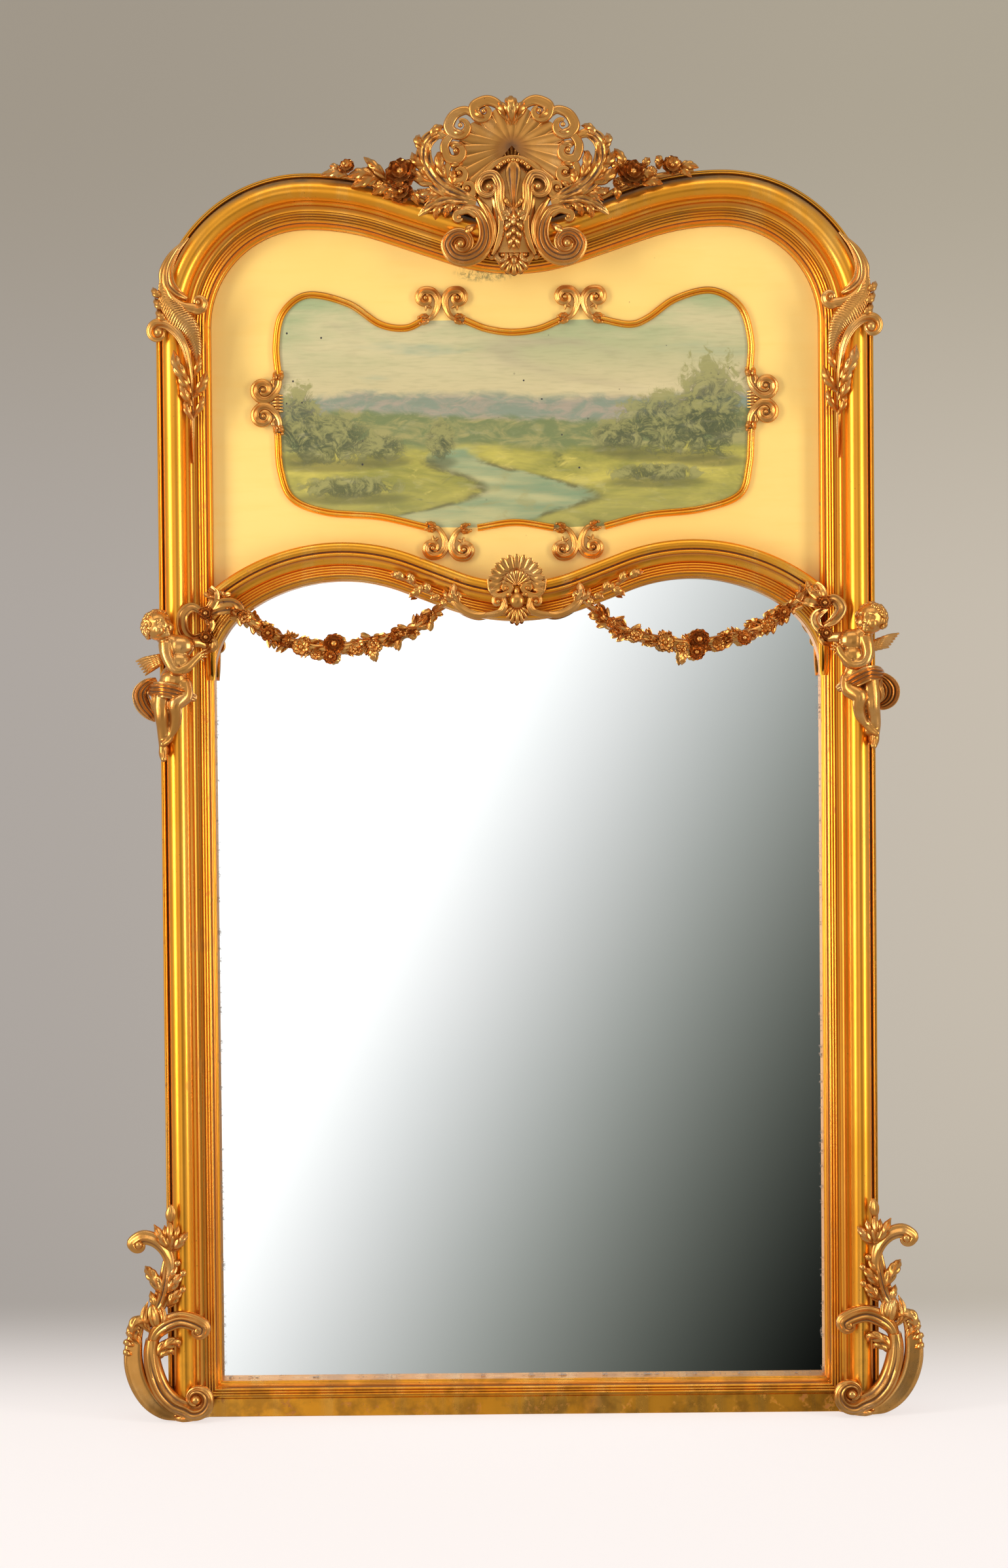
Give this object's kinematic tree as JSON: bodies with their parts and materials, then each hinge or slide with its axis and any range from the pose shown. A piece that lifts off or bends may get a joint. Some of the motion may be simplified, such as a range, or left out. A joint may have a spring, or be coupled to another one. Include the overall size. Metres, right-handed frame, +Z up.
{
  "type": "trumeau mirror",
  "caption": "Tall arched gilt mirror with a painted upper panel, carved shell crest, garlands, winged children and scroll feet; stands on its base against a wall.",
  "frame": {"origin": "middle of the underside of the base, in the plane of the upper panel's front", "axes": "+Z up along the height, +X to the viewer's right, -Y out of the front"},
  "size_m": [1.275, 0.152, 2.0997],
  "materials": {
    "silvered_glass": "polished, old silvering",
    "painted_canvas": "oil painted, satin varnish",
    "cream_paint": "aged cream paint, satin",
    "bare_softwood": "unfinished, aged",
    "iron": "dark, lightly rusted",
    "water_gilding": "burnished gold leaf over red-brown clay on carved wood",
    "bronzed_gilding": "bronzed gold leaf on carved wood"
  },
  "bodies": {
    "root": {"arch_moulding": "water_gilding", "back_batten_lower": "bare_softwood", "back_batten_upper": "bare_softwood", "backboard_1": "bare_softwood", "backboard_2": "bare_softwood", "backboard_3": "bare_softwood", "base_moulding": "water_gilding", "bow_left": "bronzed_gilding", "bow_right": "bronzed_gilding", "carcass_bottom_rail": "bare_softwood", "carcass_middle_rail": "bare_softwood", "carcass_stile_left": "bare_softwood", "carcass_stile_right": "bare_softwood", "carcass_top": "bare_softwood", "corner_rocaille_left": "bronzed_gilding", "corner_rocaille_right": "bronzed_gilding", "crest_acanthus_left": "bronzed_gilding", "crest_acanthus_right": "bronzed_gilding", "crest_cartouche": "bronzed_gilding", "crest_pendant": "bronzed_gilding", "crest_scroll_left": "bronzed_gilding", "crest_scroll_right": "bronzed_gilding", "crest_shell": "bronzed_gilding", "flower_spray_left": "bronzed_gilding", "flower_spray_right": "bronzed_gilding", "foot_leaves_left": "bronzed_gilding", "foot_leaves_right": "bronzed_gilding", "foot_scroll_left": "bronzed_gilding", "foot_scroll_right": "bronzed_gilding", "garland_left": "bronzed_gilding", "garland_right": "bronzed_gilding", "hanging_plate_left": "iron", "hanging_plate_right": "iron", "lower_arm_left": "bronzed_gilding", "lower_arm_right": "bronzed_gilding", "lower_shell": "bronzed_gilding", "mirror_glass": "silvered_glass", "painting_canvas": "painted_canvas", "panel_batten_left": "bare_softwood", "panel_batten_right": "bare_softwood", "panel_brace": "bare_softwood", "picture_bar_bottom": "bronzed_gilding", "picture_bar_bottom_left": "bronzed_gilding", "picture_bar_bottom_right": "bronzed_gilding", "picture_bar_top": "bronzed_gilding", "picture_bar_top_left": "bronzed_gilding", "picture_bar_top_right": "bronzed_gilding", "picture_scrolls_bottom_left": "bronzed_gilding", "picture_scrolls_bottom_right": "bronzed_gilding", "picture_scrolls_left": "bronzed_gilding", "picture_scrolls_right": "bronzed_gilding", "picture_scrolls_top_left": "bronzed_gilding", "picture_scrolls_top_right": "bronzed_gilding", "plate_screws": "iron", "putto_left": "bronzed_gilding", "putto_right": "bronzed_gilding", "stile_moulding_left": "water_gilding", "stile_moulding_right": "water_gilding", "top_moulding": "water_gilding", "upper_panel": "cream_paint"}
  },
  "joints": []
}
